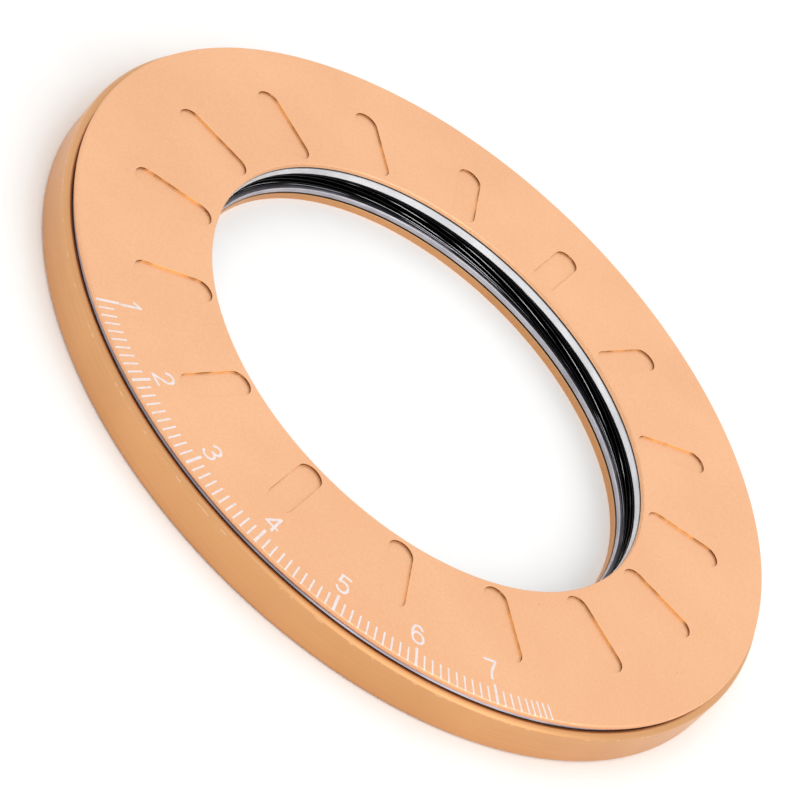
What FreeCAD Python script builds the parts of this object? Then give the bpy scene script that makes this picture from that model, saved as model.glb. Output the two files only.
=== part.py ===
"""Iris circle-drawing ring: sixteen blades between a housing and a turning scale ring.

Turning the upper ring counter-clockwise, seen from above, swings the blades inwards, so
that their inner edges close a round opening from 78 mm down to 10 mm across. Origin at
the middle of the underside, +Z up, millimetres. At rest the blades are fully open.
"""
import FreeCAD, Part
import os
import math
import Sketcher

Vector = FreeCAD.Vector

# Driving dimensions: alias, value in millimetres (or a plain count or angle), meaning.
SIZES = [
    ("hole_radius", 39.0, "radius of the hole through the housing"),
    ("ring_hole_margin", 0.4, "how far the upper rings' hole stands back from the housing's"),
    ("blade_tuck", 0.7, "how far open blades stand back from the housing's hole"),
    ("blade_width", 12.6, "width of a blade's band"),
    ("blade_thickness", 0.08, "sheet thickness of a blade"),
    ("blade_space", 3.15, "height of the space that the blades weave in"),
    ("blade_float", 0.05, "vertical gap between the blades and the rings beside them"),
    ("blade_count", 16, "number of blades"),
    ("closed_radius", 5.0, "radius of the opening when fully closed"),
    ("drive_offset", 4.0, "how much further out than a pivot its blade's drive stud sits, open"),
    ("drive_dip", 3.0, "how much further in than a pivot a drive stud comes at mid travel"),
    ("slot_bias_angle", 0.2, "angle from a cam slot's middle line to its stud at rest, degrees"),
    ("pivot_stud_radius", 1.0, "radius of a pivot stud"),
    ("drive_stud_radius", 1.1, "radius of a drive stud"),
    ("stud_headroom", 0.15, "gap between a drive stud's top and the film over the cam ring"),
    ("running_gap", 0.05, "clearance of turning parts"),
    ("floor_thickness", 1.2, "thickness of the housing's floor"),
    ("film_thickness", 0.15, "thickness of an adhesive film"),
    ("pivot_ring_thickness", 0.9, "thickness of the ring that holds the pivot studs"),
    ("ledge_margin", 1.7, "gap from open blades to the housing's ledge"),
    ("ledge_width", 8.3, "width of the ledge that the cam ring turns on"),
    ("rim_wall", 1.2, "wall of the housing's rim"),
    ("rim_rise", 0.95, "height of the rim above the ledge"),
    ("rim_bevel", 0.5, "bevel on the rim's outer top edge"),
    ("bottom_round", 0.7, "rounding of the housing's lower outer edge"),
    ("edge_break", 0.12, "small chamfer on ring edges at the hole"),
    ("cam_ring_thickness", 1.35, "thickness of the cam ring"),
    ("flange_thickness", 0.35, "thickness of the cam ring's flange"),
    ("flange_step", 1.1, "how far the flange stands out from the cam ring's body"),
    ("ring_thickness", 0.35, "thickness of the retaining ring"),
    ("groove_depth", 0.5, "depth of the retaining ring's groove in the rim"),
    ("groove_play", 0.02, "room above and below the retaining ring in its groove"),
    ("ring_stand_off", 0.2, "gap between the retaining ring and the cam ring's body"),
    ("ring_split", 9.0, "width of the retaining ring's split"),
    ("cover_thickness", 0.8, "thickness of the cover plate"),
    ("cover_overhang", 0.2, "how far the cover plate reaches out over the rim"),
    ("cover_chamfer", 0.25, "chamfer on the cover plate's upper edges"),
    ("slot_width", 4.2, "width of the cam slots and of the recesses over them"),
    ("slot_wall", 1.2, "metal between a slot's inner tip and the upper rings' hole"),
    ("slot_overrun", 4.0, "how far a slot's outer tip lies beyond the open drive stud"),
    ("recess_depth", 0.3, "depth of the recesses in the cover plate"),
]
BLADE_SECTIONS = 15
CAP_MARGIN_ANGLE = 2.0  # degrees of blade ramp past each round end
CUT_MARGIN = 1.0  # millimetres that a cutting or trimmed shape runs past the piece
SAME_PLACE = 1e-6

doc = FreeCAD.newDocument("iris_circle_ring")
sheet = doc.addObject("Spreadsheet::Sheet", "Sizes")
for row, (alias, number, meaning) in enumerate(SIZES, start=1):
    sheet.set(f"A{row}", meaning)
    sheet.set(f"B{row}", str(number))
    sheet.setAlias(f"B{row}", alias)
doc.recompute()


def size(alias):
    """Expression for one driving dimension."""
    return f"Sizes.{alias}"


def value(expression):
    """Number that an expression gives with the present sizes."""
    result = sheet.evalExpression(expression)
    return float(getattr(result, "Value", result))


def add(*terms):
    """Expression for the sum of several expressions."""
    return "(" + " + ".join(terms) + ")"


# Radii, from the hole outwards.
RING_HOLE = add(size("hole_radius"), size("ring_hole_margin"))
BLADE_INNER = add(size("hole_radius"), size("blade_tuck"))
BLADE_OUTER = add(BLADE_INNER, size("blade_width"))
PIVOT_RADIUS = add(BLADE_INNER, f"{size('blade_width')} / 2")
DRIVE_RADIUS = add(PIVOT_RADIUS, size("drive_offset"))
PIVOT_RING_HOLE = add(size("hole_radius"), size("edge_break"))
LEDGE_RADIUS = add(BLADE_OUTER, size("ledge_margin"))
PIVOT_RING_EDGE = f"({LEDGE_RADIUS} - {size('running_gap')})"
BORE_RADIUS = add(LEDGE_RADIUS, size("ledge_width"))
HOUSING_RADIUS = add(BORE_RADIUS, size("rim_wall"))
GROOVE_RADIUS = add(BORE_RADIUS, size("groove_depth"))
FLANGE_RADIUS = f"({BORE_RADIUS} - {size('running_gap')})"
CAM_BODY_RADIUS = f"({FLANGE_RADIUS} - {size('flange_step')})"
COVER_RADIUS = add(BORE_RADIUS, size("cover_overhang"))
SLOT_HALF = f"({size('slot_width')} / 2)"
SLOT_INNER = add(RING_HOLE, size("slot_wall"), SLOT_HALF)
SLOT_OUTER = f"({DRIVE_RADIUS} + {size('slot_overrun')} - {SLOT_HALF})"

# Heights, from the underside up.
PIVOT_RING_BASE = add(size("floor_thickness"), size("film_thickness"))
SPACE_BASE = add(PIVOT_RING_BASE, size("pivot_ring_thickness"))
CAM_BASE = add(SPACE_BASE, size("blade_space"))
LEDGE_TOP = f"({CAM_BASE} - {size('running_gap')})"
RIM_TOP = add(LEDGE_TOP, size("rim_rise"))
FLANGE_TOP = add(CAM_BASE, size("flange_thickness"))
RING_BASE = add(FLANGE_TOP, size("running_gap"))
RING_TOP = add(RING_BASE, size("ring_thickness"))
CAM_TOP = add(CAM_BASE, size("cam_ring_thickness"))
COVER_BASE = add(CAM_TOP, size("film_thickness"))
COVER_TOP = add(COVER_BASE, size("cover_thickness"))

# Blade linkage. A blade swings about its pivot stud, and its drive stud lies at the far
# end of its band, one link away, just inside a radial slot of the cam ring.
CLOSING_SHIFT = f"({BLADE_INNER} - {size('closed_radius')})"
SWING = f"(2 * asin({CLOSING_SHIFT} / (2 * {PIVOT_RADIUS})))"
LINK = f"(2 * {PIVOT_RADIUS} - {size('drive_dip')})"
DRIVE_ANGLE = (f"acos(({PIVOT_RADIUS} ^ 2 + {DRIVE_RADIUS} ^ 2 - {LINK} ^ 2)"
               f" / (2 * {PIVOT_RADIUS} * {DRIVE_RADIUS}))")
CAP_ANGLE = f"({size('blade_width')} / 2 / {PIVOT_RADIUS} * 1 rad + {CAP_MARGIN_ANGLE} deg)"
PIVOT_AZIMUTH = f"({size('slot_bias_angle')} * 1 deg - {DRIVE_ANGLE})"


def blade_height(angle):
    """Expression for the height of a blade's underside at an angle along its band.

    Each blade lies over the next one all the way round. When closed, neighbours are the
    closest in the middle of the band, and this curve keeps them evenly apart there.
    """
    steepness = f"sqrt((2 * {BLADE_INNER} - {size('closed_radius')}) / {size('closed_radius')})"
    middle = f"(90 deg - {SWING} / 2)"
    half_span = f"({DRIVE_ANGLE} / 2 + {CAP_ANGLE})"
    rise = f"({size('blade_space')} - 2 * {size('blade_float')} - {size('blade_thickness')})"
    ramp = (f"atan({steepness} * tan((({angle}) - {middle}) / 2))"
            f" / atan({steepness} * tan({half_span} / 2))")
    return f"({SPACE_BASE} + {size('blade_float')} + {rise} / 2 * (1 + {ramp}))"


def origin_plane(body, role):
    """One of a body's own origin planes."""
    return next(item for item in body.Origin.OriginFeatures if item.Role == role)


def new_body(name):
    """PartDesign body whose label names its file."""
    body = doc.addObject("PartDesign::Body", name)
    body.Label = name
    return body


def new_sketch(body, name, role, height=None, turn=None):
    """Sketch on a body's origin plane, raised and turned by expressions."""
    sketch = body.newObject("Sketcher::SketchObject", name)
    sketch.AttachmentSupport = [(origin_plane(body, role), "")]
    sketch.MapMode = "FlatFace"
    if height:
        sketch.setExpression("AttachmentOffset.Base.z", height)
    if turn:
        sketch.setExpression("AttachmentOffset.Rotation.Angle", turn)
    return sketch


def bind(sketch, constraint, expression):
    """Add a constraint and bind its value to an expression."""
    index = sketch.addConstraint(constraint)
    sketch.setExpression(f"Constraints[{index}]", expression)


def place_point(sketch, geometry, point, across, up):
    """Hold a point at two expressions, measured from the sketch's origin."""
    for kind, axis, expression in (("DistanceX", -2, across), ("DistanceY", -1, up)):
        if expression == "0":
            sketch.addConstraint(Sketcher.Constraint("PointOnObject", geometry, point, axis))
        else:
            constraint = Sketcher.Constraint(kind, -1, 1, geometry, point, value(expression))
            bind(sketch, constraint, expression)


def revolved_ring(name, corners):
    """Body turned from a closed outline of (radius, height) expressions."""
    body = new_body(name)
    sketch = new_sketch(body, f"{name}_outline", "XZ_Plane")
    points = [Vector(value(radius), value(height), 0) for radius, height in corners]
    for index, point in enumerate(points):
        sketch.addGeometry(Part.LineSegment(point, points[(index + 1) % len(points)]))
    for index, (radius, height) in enumerate(corners):
        previous = (index - 1) % len(corners)
        sketch.addConstraint(Sketcher.Constraint("Coincident", previous, 2, index, 1))
        place_point(sketch, index, 1, radius, height)
    turned = body.newObject("PartDesign::Revolution", f"{name}_turned")
    turned.Profile = sketch
    turned.ReferenceAxis = (sketch, ["V_Axis"])
    turned.Angle = 360
    doc.recompute()
    return body


def pattern_round(body, feature, sketch):
    """Repeat a feature once for each blade, round the body's axis."""
    pattern = body.newObject("PartDesign::PolarPattern", f"{feature.Name}_pattern")
    pattern.Originals = [feature]
    pattern.Axis = (sketch, ["N_Axis"])
    pattern.Angle = 360
    pattern.setExpression("Occurrences", size("blade_count"))
    body.Tip = pattern
    doc.recompute()


def cut_down(body, sketch, name, depth):
    """Pocket from a sketch downwards by an expression's depth."""
    before = body.Tip.Shape.Volume
    pocket = body.newObject("PartDesign::Pocket", name)
    pocket.Profile = sketch
    pocket.setExpression("Length", depth)
    doc.recompute()
    if pocket.Shape.Volume >= before:
        raise RuntimeError(f"{name} removes nothing")
    return pocket


def cut_slots(body, name, top, depth):
    """Radial slots with round ends, one for each blade, from a height downwards."""
    sketch = new_sketch(body, f"{name}_outline", "XY_Plane", height=top)
    half, near, far = value(SLOT_HALF), value(SLOT_INNER), value(SLOT_OUTER)
    quarter = math.pi / 2
    up = Vector(0, 0, 1)
    sketch.addGeometry(Part.LineSegment(Vector(near, half, 0), Vector(far, half, 0)))
    far_end = Part.Circle(Vector(far, 0, 0), up, half)
    sketch.addGeometry(Part.ArcOfCircle(far_end, -quarter, quarter))
    sketch.addGeometry(Part.LineSegment(Vector(far, -half, 0), Vector(near, -half, 0)))
    near_end = Part.Circle(Vector(near, 0, 0), up, half)
    sketch.addGeometry(Part.ArcOfCircle(near_end, quarter, 3 * quarter))
    for line, line_end, arc, arc_end in ((0, 2, 1, 2), (2, 1, 1, 1), (0, 1, 3, 1), (2, 2, 3, 2)):
        sketch.addConstraint(Sketcher.Constraint("Tangent", line, line_end, arc, arc_end))
    sketch.addConstraint(Sketcher.Constraint("Equal", 1, 3))
    place_point(sketch, 1, 3, SLOT_OUTER, "0")
    place_point(sketch, 3, 3, SLOT_INNER, "0")
    bind(sketch, Sketcher.Constraint("Radius", 1, half), SLOT_HALF)
    pocket = cut_down(body, sketch, name, depth)
    pattern_round(body, pocket, sketch)


def make_housing():
    """Cup with a hole, a stepped ledge for the cam ring and a grooved, bevelled rim."""
    bevel = size("rim_bevel")
    edge = size("edge_break")
    hole = size("hole_radius")
    floor = size("floor_thickness")
    groove_base = f"({RING_BASE} - {size('groove_play')})"
    groove_top = add(RING_TOP, size("groove_play"))
    housing = revolved_ring("housing", [
        (add(hole, edge), "0"),
        (HOUSING_RADIUS, "0"),
        (HOUSING_RADIUS, f"({RIM_TOP} - {bevel})"),
        (f"({HOUSING_RADIUS} - {bevel})", RIM_TOP),
        (BORE_RADIUS, RIM_TOP),
        (BORE_RADIUS, groove_top),
        (GROOVE_RADIUS, groove_top),
        (GROOVE_RADIUS, groove_base),
        (BORE_RADIUS, groove_base),
        (BORE_RADIUS, LEDGE_TOP),
        (LEDGE_RADIUS, LEDGE_TOP),
        (LEDGE_RADIUS, floor),
        (add(hole, edge), floor),
        (hole, f"({floor} - {edge})"),
        (hole, edge),
    ])
    radius = value(HOUSING_RADIUS)
    turned = housing.Tip
    names = []
    for number, edge_shape in enumerate(turned.Shape.Edges, start=1):
        curve = edge_shape.Curve
        outermost = isinstance(curve, Part.Circle) and abs(curve.Radius - radius) < SAME_PLACE
        if outermost and abs(curve.Center.z) < SAME_PLACE:
            names.append(f"Edge{number}")
    rounding = housing.newObject("PartDesign::Fillet", "housing_lower_edge")
    rounding.Base = (turned, names)
    rounding.setExpression("Radius", size("bottom_round"))
    doc.recompute()
    return housing


def make_film(name, inner, outer, height):
    """Flat ring of adhesive film."""
    disc = doc.addObject("Part::Cylinder", f"{name}_disc")
    disc.setExpression("Radius", outer)
    core = doc.addObject("Part::Cylinder", f"{name}_core")
    core.setExpression("Radius", inner)
    for piece in (disc, core):
        piece.setExpression("Height", size("film_thickness"))
        piece.setExpression("Placement.Base.z", height)
    film = doc.addObject("Part::Cut", name)
    film.Base = disc
    film.Tool = core
    film.Label = name
    return film


def make_pivot_ring():
    """Plain ring on the housing's floor, drilled for the pivot studs."""
    edge = size("edge_break")
    ring = revolved_ring("pivot_ring", [
        (add(PIVOT_RING_HOLE, edge), PIVOT_RING_BASE),
        (PIVOT_RING_EDGE, PIVOT_RING_BASE),
        (PIVOT_RING_EDGE, SPACE_BASE),
        (add(PIVOT_RING_HOLE, edge), SPACE_BASE),
        (PIVOT_RING_HOLE, f"({SPACE_BASE} - {edge})"),
        (PIVOT_RING_HOLE, add(PIVOT_RING_BASE, edge)),
    ])
    sketch = new_sketch(ring, "pivot_hole_outline", "XY_Plane", SPACE_BASE, PIVOT_AZIMUTH)
    radius = add(size("pivot_stud_radius"), size("running_gap"))
    centre = Vector(value(PIVOT_RADIUS), 0, 0)
    sketch.addGeometry(Part.Circle(centre, Vector(0, 0, 1), value(radius)))
    place_point(sketch, 0, 3, PIVOT_RADIUS, "0")
    bind(sketch, Sketcher.Constraint("Radius", 0, value(radius)), radius)
    pocket = cut_down(ring, sketch, "pivot_hole", size("pivot_ring_thickness"))
    pattern_round(ring, pocket, sketch)
    return ring


def make_cam_ring():
    """Turning ring with a retained flange and a radial slot for each drive stud."""
    edge = size("edge_break")
    ring = revolved_ring("cam_ring", [
        (add(RING_HOLE, edge), CAM_BASE),
        (FLANGE_RADIUS, CAM_BASE),
        (FLANGE_RADIUS, FLANGE_TOP),
        (CAM_BODY_RADIUS, FLANGE_TOP),
        (CAM_BODY_RADIUS, CAM_TOP),
        (add(RING_HOLE, edge), CAM_TOP),
        (RING_HOLE, f"({CAM_TOP} - {edge})"),
        (RING_HOLE, add(CAM_BASE, edge)),
    ])
    cut_slots(ring, "cam_slot", CAM_TOP, size("cam_ring_thickness"))
    return ring


def make_cover_plate():
    """Flat ring that carries the scale, with a shallow recess over each cam slot."""
    edge = size("edge_break")
    chamfer = size("cover_chamfer")
    plate = revolved_ring("cover_plate", [
        (add(RING_HOLE, edge), COVER_BASE),
        (f"({COVER_RADIUS} - {edge})", COVER_BASE),
        (COVER_RADIUS, add(COVER_BASE, edge)),
        (COVER_RADIUS, f"({COVER_TOP} - {chamfer})"),
        (f"({COVER_RADIUS} - {chamfer})", COVER_TOP),
        (add(RING_HOLE, chamfer), COVER_TOP),
        (RING_HOLE, f"({COVER_TOP} - {chamfer})"),
        (RING_HOLE, add(COVER_BASE, edge)),
    ])
    cut_slots(plate, "recess", COVER_TOP, size("recess_depth"))
    return plate


def make_retaining_ring():
    """Split steel ring sprung into the rim's groove, over the cam ring's flange."""
    inner = add(CAM_BODY_RADIUS, size("ring_stand_off"))
    outer = f"({GROOVE_RADIUS} - {size('running_gap')})"
    ring = revolved_ring("retaining_ring", [
        (inner, RING_BASE),
        (outer, RING_BASE),
        (outer, RING_TOP),
        (inner, RING_TOP),
    ])
    sketch = new_sketch(ring, "split_outline", "XY_Plane", height=RING_TOP)
    half = f"({size('ring_split')} / 2)"
    reach = f"({outer} + {CUT_MARGIN})"
    start = f"({inner} - {CUT_MARGIN})"
    low, high, near, far = -value(half), value(half), value(start), value(reach)
    corners = [Vector(near, low, 0), Vector(far, low, 0), Vector(far, high, 0), Vector(near, high, 0)]
    for index, corner in enumerate(corners):
        sketch.addGeometry(Part.LineSegment(corner, corners[(index + 1) % 4]))
    for index in range(4):
        sketch.addConstraint(Sketcher.Constraint("Coincident", index, 2, (index + 1) % 4, 1))
    for kind, index in (("Horizontal", 0), ("Horizontal", 2), ("Vertical", 3)):
        sketch.addConstraint(Sketcher.Constraint(kind, index))
    place_point(sketch, 2, 1, reach, half)
    sketch.addConstraint(Sketcher.Constraint("Symmetric", 0, 2, 1, 2, -1))
    bind(sketch, Sketcher.Constraint("DistanceX", -1, 1, 0, 1, near), start)
    cut_down(ring, sketch, "split", f"({size('ring_thickness')} + {CUT_MARGIN})")
    return ring


def make_blade_ramp():
    """Thin woven sheet, wider than a blade, that rises along the blade's band."""
    inner = value(BLADE_INNER) - CUT_MARGIN
    outer = value(BLADE_OUTER) + CUT_MARGIN
    thickness = value(size("blade_thickness"))
    start = -value(CAP_ANGLE)
    end = value(DRIVE_ANGLE) + value(CAP_ANGLE)
    sections = []
    for number in range(BLADE_SECTIONS):
        angle = start + (end - start) * number / (BLADE_SECTIONS - 1)
        low = value(blade_height(f"{angle} deg"))
        along = Vector(math.cos(math.radians(angle)), math.sin(math.radians(angle)), 0)
        corners = [
            along * inner + Vector(0, 0, low),
            along * outer + Vector(0, 0, low),
            along * outer + Vector(0, 0, low + thickness),
            along * inner + Vector(0, 0, low + thickness),
        ]
        sections.append(Part.makePolygon(corners + corners[:1]))
    ramp = doc.addObject("Part::Feature", "blade_ramp")
    ramp.Shape = Part.makeLoft(sections, True, False)
    return ramp


def make_blade_outline():
    """Crescent outline of a blade: a band round the hole with two round ends."""
    sketch = doc.addObject("Sketcher::SketchObject", "blade_outline")
    inner, outer = value(BLADE_INNER), value(BLADE_OUTER)
    middle, half = value(PIVOT_RADIUS), value(size("blade_width")) / 2
    sweep = math.radians(value(DRIVE_ANGLE))
    up = Vector(0, 0, 1)
    origin = Vector(0, 0, 0)
    far = Vector(middle * math.cos(sweep), middle * math.sin(sweep), 0)
    sketch.addGeometry(Part.ArcOfCircle(Part.Circle(origin, up, inner), 0, sweep))
    sketch.addGeometry(Part.ArcOfCircle(Part.Circle(far, up, half), sweep, sweep + math.pi))
    sketch.addGeometry(Part.ArcOfCircle(Part.Circle(origin, up, outer), 0, sweep))
    near_end = Part.Circle(Vector(middle, 0, 0), up, half)
    sketch.addGeometry(Part.ArcOfCircle(near_end, math.pi, 2 * math.pi))
    tip = Vector(outer * math.cos(sweep), outer * math.sin(sweep), 0)
    sketch.addGeometry(Part.LineSegment(origin, tip), True)
    for arc in (0, 2):
        sketch.addConstraint(Sketcher.Constraint("Coincident", arc, 3, -1, 1))
    joins = ((0, 2, 1, 2), (2, 2, 1, 1), (0, 1, 3, 1), (2, 1, 3, 2))
    for first, first_end, second, second_end in joins:
        sketch.addConstraint(
            Sketcher.Constraint("Coincident", first, first_end, second, second_end))
    for arc, point in ((0, 1), (2, 1), (3, 3)):
        sketch.addConstraint(Sketcher.Constraint("PointOnObject", arc, point, -1))
    sketch.addConstraint(Sketcher.Constraint("Coincident", 4, 1, -1, 1))
    sketch.addConstraint(Sketcher.Constraint("Coincident", 4, 2, 2, 2))
    for arc, point in ((0, 2), (1, 3)):
        sketch.addConstraint(Sketcher.Constraint("PointOnObject", arc, point, 4))
    bind(sketch, Sketcher.Constraint("Radius", 0, inner), BLADE_INNER)
    bind(sketch, Sketcher.Constraint("Radius", 2, outer), BLADE_OUTER)
    bind(sketch, Sketcher.Constraint("Angle", 4, sweep), DRIVE_ANGLE)
    return sketch


def make_stud(name, radius, reach, angle, base, top):
    """Plain cylindrical stud on a blade, standing between two heights."""
    stud = doc.addObject("Part::Cylinder", name)
    stud.Label = name
    stud.setExpression("Radius", radius)
    stud.setExpression("Height", f"{top} - {base}")
    stud.setExpression("Placement.Base.x", f"{reach} * cos({angle})")
    stud.setExpression("Placement.Base.y", f"{reach} * sin({angle})")
    stud.setExpression("Placement.Base.z", base)
    return stud


def make_master_blade():
    """One blade at azimuth zero: the ramp cut to the outline and drilled for its studs."""
    ramp = make_blade_ramp()
    outline = make_blade_outline()
    prism = doc.addObject("Part::Extrusion", "blade_prism")
    prism.Base = outline
    prism.Dir = Vector(0, 0, 1)
    prism.Solid = True
    prism.setExpression("LengthFwd", CAM_TOP)
    crescent = doc.addObject("Part::Common", "blade_crescent")
    crescent.Base = ramp
    crescent.Tool = prism
    pivot_hole = make_stud("pivot_drill", size("pivot_stud_radius"), PIVOT_RADIUS,
                           "0 deg", "0", CAM_TOP)
    drive_hole = make_stud("drive_drill", size("drive_stud_radius"), DRIVE_RADIUS,
                           DRIVE_ANGLE, "0", CAM_TOP)
    pivoted = doc.addObject("Part::Cut", "blade_with_pivot_hole")
    pivoted.Base = crescent
    pivoted.Tool = pivot_hole
    blade = doc.addObject("Part::Cut", "blade_master")
    blade.Base = pivoted
    blade.Tool = drive_hole
    doc.recompute()
    return blade


def make_blades():
    """Every blade with its pivot stud and drive stud, evenly round the axis."""
    master = make_master_blade()
    count = int(value(size("blade_count")))
    pivot_base = f"({PIVOT_RING_BASE} + {size('blade_float')})"
    pivot_top = f"({blade_height('0 deg')} + {size('blade_thickness')})"
    drive_base = blade_height(DRIVE_ANGLE)
    drive_top = f"({CAM_TOP} - {size('stud_headroom')})"
    pieces = []
    for number in range(count):
        azimuth = f"({PIVOT_AZIMUTH} + {number} * 360 deg / {size('blade_count')})"
        tag = f"{number + 1:02d}"
        blade = doc.addObject("Part::Feature", f"blade_{tag}")
        blade.Label = f"blade_{tag}"
        blade.Shape = master.Shape
        blade.Placement = FreeCAD.Placement(
            Vector(0, 0, 0), FreeCAD.Rotation(Vector(0, 0, 1), value(azimuth)))
        pivot = make_stud(f"pivot_stud_{tag}", size("pivot_stud_radius"), PIVOT_RADIUS,
                          azimuth, pivot_base, pivot_top)
        drive = make_stud(f"drive_stud_{tag}", size("drive_stud_radius"), DRIVE_RADIUS,
                          f"({azimuth} + {DRIVE_ANGLE})", drive_base, drive_top)
        pieces += [blade, pivot, drive]
    return pieces


def ring_turn():
    """Angle, in degrees, that the cam ring turns while a blade makes its whole swing."""
    pivot, link = value(PIVOT_RADIUS), value(LINK)
    start = math.acos((pivot ** 2 + link ** 2 - value(DRIVE_RADIUS) ** 2) / (2 * pivot * link))
    end = start - math.radians(value(SWING))
    azimuth = math.atan2(link * math.sin(end), pivot - link * math.cos(end)) % (2 * math.pi)
    return math.degrees(azimuth) - value(DRIVE_ANGLE)


def check_everything(pieces):
    """Stop if any object failed to build or any sub-part has no sound solid."""
    for item in doc.Objects:
        if "Invalid" in item.State or "Error" in item.State:
            raise RuntimeError(f"{item.Name} failed: {item.State}")
    for piece in pieces:
        if piece.Shape.isNull() or not piece.Shape.isValid() or not piece.Shape.Solids:
            raise RuntimeError(f"{piece.Label} has no valid solid")


parts = [
    make_housing(),
    make_film("base_film", add(PIVOT_RING_HOLE, size("edge_break")), PIVOT_RING_EDGE,
              size("floor_thickness")),
    make_pivot_ring(),
    make_cam_ring(),
    make_film("cover_film", add(RING_HOLE, size("edge_break")), CAM_BODY_RADIUS, CAM_TOP),
    make_cover_plate(),
    make_retaining_ring(),
]
parts += make_blades()
doc.recompute()
check_everything(parts)

os.makedirs("parts", exist_ok=True)
for part in parts:
    part.Shape.exportStep(f"parts/{part.Label}.step")

print(f"nodes {len(parts)}")
print(f"overall height {value(COVER_TOP):.3f}, housing radius {value(HOUSING_RADIUS):.3f}")
print(f"pivot radius {value(PIVOT_RADIUS):.4f}, first pivot at {value(PIVOT_AZIMUTH):.4f} degrees")
print(f"blade swing {value(SWING):.4f}, ring turn {ring_turn():.4f} degrees")
print(f"drive angle {value(DRIVE_ANGLE):.4f}, link {value(LINK):.4f}")
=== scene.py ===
"""Looks of the iris circle-drawing ring, in metres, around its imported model.

The housing, the retaining ring and the cover plate are what the eye rests on, so they are
made again here with rounded edges and fine circles. The printed scale is laid on the cover
plate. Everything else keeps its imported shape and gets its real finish.
"""
import logging
import math
from collections.abc import Callable
from dataclasses import dataclass
from enum import Enum

import bmesh
import bpy
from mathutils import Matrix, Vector
from mathutils.geometry import delaunay_2d_cdt


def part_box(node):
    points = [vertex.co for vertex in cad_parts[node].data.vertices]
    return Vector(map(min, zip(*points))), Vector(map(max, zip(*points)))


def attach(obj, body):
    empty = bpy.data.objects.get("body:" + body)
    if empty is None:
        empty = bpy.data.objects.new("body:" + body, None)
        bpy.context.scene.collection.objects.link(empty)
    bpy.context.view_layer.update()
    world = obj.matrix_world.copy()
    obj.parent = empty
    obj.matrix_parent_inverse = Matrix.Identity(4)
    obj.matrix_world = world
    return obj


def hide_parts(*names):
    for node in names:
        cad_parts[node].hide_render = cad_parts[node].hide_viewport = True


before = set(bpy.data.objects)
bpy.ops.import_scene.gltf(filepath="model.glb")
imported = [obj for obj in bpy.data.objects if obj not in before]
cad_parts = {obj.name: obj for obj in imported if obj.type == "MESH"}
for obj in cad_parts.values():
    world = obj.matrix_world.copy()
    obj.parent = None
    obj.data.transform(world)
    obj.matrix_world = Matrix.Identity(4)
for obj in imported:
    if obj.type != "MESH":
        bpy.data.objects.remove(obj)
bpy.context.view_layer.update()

MM = 0.001
FULL_TURN = 2 * math.pi
MATH, RANGE = "ShaderNodeMath", "ShaderNodeMapRange"
MIX, NOISE = "ShaderNodeMix", "ShaderNodeTexNoise"
NOISE_ROUGHNESS = 0.55
SOCKETS = {int: "NodeSocketInt", float: "NodeSocketFloat",
           bpy.types.Material: "NodeSocketMaterial"}
log = logging.getLogger("iris_ring")

Profile = list[tuple[float, float]]


class Grain(Enum):
    """How a metal's surface was left by its last operation."""

    BLASTED = "fine bead blasting, even in all directions"
    TURNED = "lathe lines that run round the axis"


class Tick(Enum):
    """Kinds of line on the scale, with inner radius and line width in metres."""

    MILLIMETRE = (59.85 * MM, 0.30 * MM)
    CENTIMETRE = (59.1 * MM, 0.46 * MM)
    FIRST = (58.5 * MM, 0.46 * MM)


# --- small helpers


def linear(hex_colour: str) -> tuple[float, float, float, float]:
    """Turn an sRGB hex colour into a linear colour with full alpha.

    Args:
        hex_colour: Six hex digits after a hash sign.

    Returns:
        Linear red, green, blue and an alpha of one.
    """
    channels = [int(hex_colour[i:i + 2], 16) / 255 for i in (1, 3, 5)]
    values = [c / 12.92 if c <= 0.04045 else ((c + 0.055) / 1.055) ** 2.4 for c in channels]
    return (*values, 1.0)


def add_node(tree: bpy.types.NodeTree, kind: str, inputs: dict | tuple | list = (),
             **settings: object) -> bpy.types.Node:
    """Add a node, set its properties, and set or link its inputs.

    Args:
        tree: Node tree that the node goes into.
        kind: The node's type name.
        inputs: Values, output sockets or nodes, in order or by input name or number. A
            node stands for the first of its outputs that is in use.
        settings: Properties of the node itself.

    Returns:
        The new node.
    """
    node = tree.nodes.new(kind)
    for name, setting in settings.items():
        setattr(node, name, setting)
    named = inputs if isinstance(inputs, dict) else dict(enumerate(inputs))
    for key, value in named.items():
        if isinstance(value, bpy.types.Node):
            value = next(socket for socket in value.outputs if socket.enabled)
        if isinstance(value, bpy.types.NodeSocket):
            tree.links.new(value, node.inputs[key])
        else:
            node.inputs[key].default_value = value
    return node


def new_material(name: str) -> tuple[bpy.types.Material, bpy.types.NodeTree]:
    """Make an empty node material.

    Args:
        name: Name of the real material and process.

    Returns:
        The material and its cleared node tree.
    """
    material = bpy.data.materials.new(name)
    material.use_nodes = True
    material.node_tree.nodes.clear()
    return material, material.node_tree


def polar(radius: float, angle: float) -> tuple[float, float]:
    """Point in the plane at a radius and an angle in radians."""
    return radius * math.cos(angle), radius * math.sin(angle)


def direction(azimuth: float, elevation: float) -> Vector:
    """Unit vector at an azimuth from +X and an elevation, both in radians."""
    return Vector((*polar(math.cos(elevation), azimuth), math.sin(elevation)))


def add_object(name: str, mesh: bpy.types.Mesh) -> bpy.types.Object:
    """Link a mesh into the scene at the origin.

    Args:
        name: Name of the piece.
        mesh: Its mesh, with its place in its vertices.

    Returns:
        The new object.
    """
    piece = bpy.data.objects.new(name, mesh)
    bpy.context.scene.collection.objects.link(piece)
    return piece


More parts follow.
